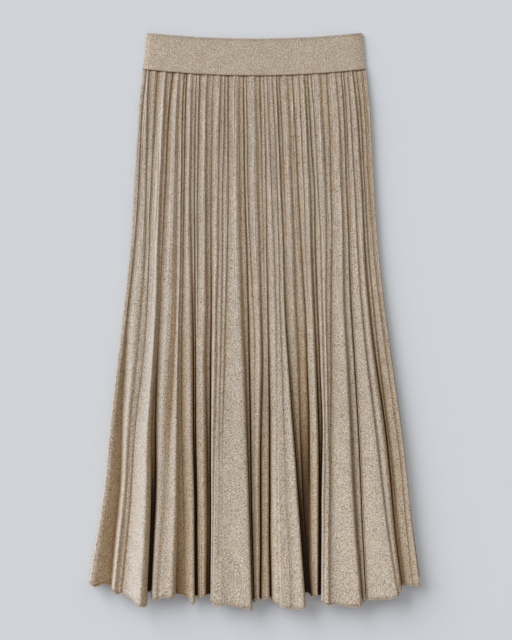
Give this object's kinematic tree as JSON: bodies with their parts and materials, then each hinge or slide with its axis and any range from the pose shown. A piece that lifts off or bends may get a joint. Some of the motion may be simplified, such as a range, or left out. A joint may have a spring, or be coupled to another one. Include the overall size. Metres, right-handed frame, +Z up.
{
  "type": "pleated maxi skirt",
  "caption": "Pleated knit maxi skirt laid flat, with a plain wide waistband and pleats that open into deep folds at the hem.",
  "frame": {"origin": "on the surface that the skirt lies on, under the middle of its outline", "axes": "+Y from the hem to the waistband, +X to the right of someone who looks down on its front, +Z up off the surface"},
  "size_m": [0.531, 0.92, 0.0325],
  "materials": {
    "pleated_knit": "rib knit in beige marl with a fine metal thread",
    "band_knit": "plain knit in beige marl with a fine metal thread"
  },
  "bodies": {
    "root": {"front_panel": "pleated_knit", "back_panel": "pleated_knit", "waistband_front": "band_knit", "waistband_back": "band_knit"}
  },
  "joints": []
}
